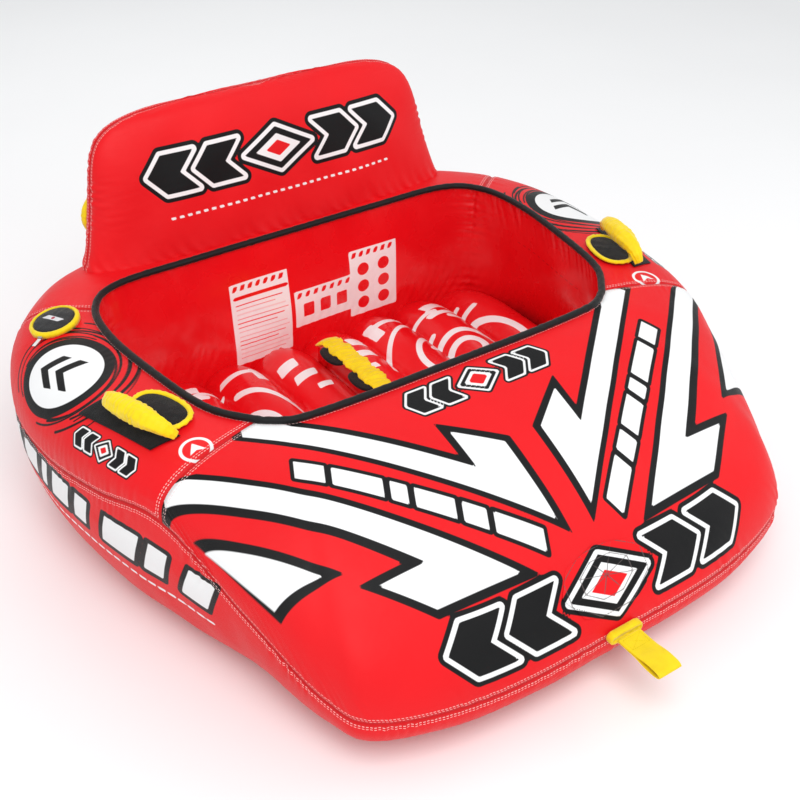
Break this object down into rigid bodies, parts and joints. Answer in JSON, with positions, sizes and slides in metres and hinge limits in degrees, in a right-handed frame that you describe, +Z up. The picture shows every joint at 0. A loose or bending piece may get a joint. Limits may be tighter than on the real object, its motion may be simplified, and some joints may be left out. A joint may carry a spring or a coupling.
{
  "type": "towable tube",
  "caption": "Inflatable two-seat towable deck tube with an open cockpit, a ribbed floor, a padded backrest, carry handles, zipped valve lids and a bow tow loop.",
  "frame": {"origin": "on the ground, under the middle of the bounding box", "axes": "+Z up, -Y towards the bow where the tow rope pulls, +X to the left of a rider facing forward"},
  "size_m": [1.5758, 1.68, 0.8007],
  "materials": {
    "cover_fabric": "tight woven nylon, printed",
    "bottom_fabric": "coated nylon",
    "red_pvc": "smooth calendered PVC",
    "binding": "folded binding tape",
    "yellow_webbing": "woven webbing",
    "yellow_sleeve": "gathered nylon sleeve over foam",
    "yellow_binding": "folded binding",
    "neoprene": "matt foam rubber with a knit face",
    "lid_fabric": "padded fabric",
    "zip_tape": "woven zip tape with teeth",
    "valve_plastic": "moulded plastic",
    "cap_plastic": "moulded plastic",
    "zip_metal": "cast zinc",
    "zip_pull": "moulded plastic"
  },
  "bodies": {
    "hull": {"front_deck_cover": "cover_fabric", "right_deck_cover": "cover_fabric", "stern_deck_cover": "cover_fabric", "left_deck_cover": "cover_fabric", "right_side_cover": "cover_fabric", "left_side_cover": "cover_fabric", "bottom_cover": "bottom_fabric", "hull_bladder": "red_pvc", "cockpit_rim_binding": "binding", "floor_bladder": "red_pvc", "backrest_bladder": "red_pvc", "backrest_rear_cover": "cover_fabric", "backrest_front_cover": "cover_fabric", "left_handle_patch": "neoprene", "left_handle_guard": "neoprene", "left_handle_guard_binding": "yellow_binding", "right_handle_patch": "neoprene", "right_handle_guard": "neoprene", "right_handle_guard_binding": "yellow_binding", "centre_handle_front_anchor": "red_pvc", "centre_handle_rear_anchor": "red_pvc", "tow_harness_patch": "cover_fabric", "tow_collar": "yellow_webbing", "deck_valve_zip_ring": "yellow_binding", "deck_valve_body": "valve_plastic", "backrest_valve_zip_ring": "yellow_binding", "backrest_valve_body": "valve_plastic", "closure_zip_tape": "zip_tape"},
    "tow_loop_body": {"tow_loop": "yellow_webbing"},
    "left_handle": {"left_handle_webbing": "yellow_webbing", "left_handle_grip": "yellow_sleeve"},
    "right_handle": {"right_handle_webbing": "yellow_webbing", "right_handle_grip": "yellow_sleeve"},
    "centre_handle": {"centre_handle_webbing": "yellow_webbing", "centre_handle_front_pad": "neoprene", "centre_handle_rear_pad": "neoprene"},
    "deck_valve_lid_body": {"deck_valve_lid": "lid_fabric"},
    "deck_valve_cap_body": {"deck_valve_cap": "cap_plastic"},
    "deck_valve_slider_body": {"deck_valve_slider": "zip_metal"},
    "deck_valve_pull_body": {"deck_valve_pull": "zip_pull"},
    "backrest_valve_lid_body": {"backrest_valve_lid": "lid_fabric"},
    "backrest_valve_cap_body": {"backrest_valve_cap": "cap_plastic"},
    "backrest_valve_slider_body": {"backrest_valve_slider": "zip_metal"},
    "backrest_valve_pull_body": {"backrest_valve_pull": "zip_pull"},
    "closure_zip_slider_body": {"closure_zip_slider": "zip_metal"},
    "closure_zip_pull_body": {"closure_zip_pull": "zip_pull"}
  },
  "joints": [
    {"name": "tow_loop_swing", "type": "hinge", "parent": "hull", "child": "tow_loop_body", "pos_m": [0, -0.7262, 0.15], "axis": [1, 0, 0], "range_deg": [-85, 50], "stiffness_Nm_per_rad": 0.3},
    {"name": "left_handle_swing", "type": "hinge", "parent": "hull", "child": "left_handle", "pos_m": [-0.63092, 0.0205, 0.47411], "axis": [-0.2941, 0.9555, -0.0213], "range_deg": [-35, 75]},
    {"name": "right_handle_swing", "type": "hinge", "parent": "hull", "child": "right_handle", "pos_m": [0.63128, 0.02041, 0.47368], "axis": [0.2929, 0.9559, -0.0233], "range_deg": [-20, 88]},
    {"name": "centre_handle_swing", "type": "hinge", "parent": "hull", "child": "centre_handle", "pos_m": [0, 0.245, 0.206], "axis": [0, 1, 0], "range_deg": [-30, 30]},
    {"name": "deck_valve_lid_hinge", "type": "hinge", "parent": "hull", "child": "deck_valve_lid_body", "pos_m": [-0.59891, 0.46795, 0.48796], "axis": [0.0991, 0.9915, -0.0841], "range_deg": [0, 150]},
    {"name": "deck_valve_cap_turn", "type": "hinge", "parent": "hull", "child": "deck_valve_cap_body", "pos_m": [-0.64, 0.47, 0.46365], "axis": [-0.2646, 0.1077, 0.9583], "range_deg": [0, 540]},
    {"name": "deck_valve_slider_run", "type": "hinge", "parent": "hull", "child": "deck_valve_slider_body", "pos_m": [-0.64, 0.47, 0.46365], "axis": [-0.2646, 0.1077, 0.9583], "range_deg": [-165, 85]},
    {"name": "deck_valve_pull_swing", "type": "hinge", "parent": "deck_valve_slider_body", "child": "deck_valve_pull_body", "pos_m": [-0.68995, 0.43548, 0.46021], "axis": [-0.5406, 0.8063, -0.2399], "range_deg": [0, 90]},
    {"name": "backrest_valve_lid_hinge", "type": "hinge", "parent": "hull", "child": "backrest_valve_lid_body", "pos_m": [-0.36461, 0.75636, 0.55934], "axis": [0, -0.0256, -0.9997], "range_deg": [0, 150]},
    {"name": "backrest_valve_cap_turn", "type": "hinge", "parent": "hull", "child": "backrest_valve_cap_body", "pos_m": [-0.405, 0.73083, 0.56], "axis": [-0.3009, 0.9534, -0.0245], "range_deg": [0, 540]},
    {"name": "backrest_valve_slider_run", "type": "hinge", "parent": "hull", "child": "backrest_valve_slider_body", "pos_m": [-0.405, 0.73083, 0.56], "axis": [-0.3009, 0.9534, -0.0245], "range_deg": [-45, 205]},
    {"name": "backrest_valve_pull_swing", "type": "hinge", "parent": "backrest_valve_slider_body", "child": "backrest_valve_pull_body", "pos_m": [-0.41688, 0.73206, 0.50037], "axis": [0.9392, 0.2917, -0.1812], "range_deg": [0, 90]},
    {"name": "closure_zip_run", "type": "slide", "parent": "hull", "child": "closure_zip_slider_body", "axis": [1, -0.0046, 0.0003], "range_m": [0, 0.4]},
    {"name": "closure_zip_pull_swing", "type": "hinge", "parent": "closure_zip_slider_body", "child": "closure_zip_pull_body", "pos_m": [-0.18496, 0.76803, 0.59192], "axis": [1, -0.0046, 0.0003], "range_deg": [0, 100]}
  ]
}
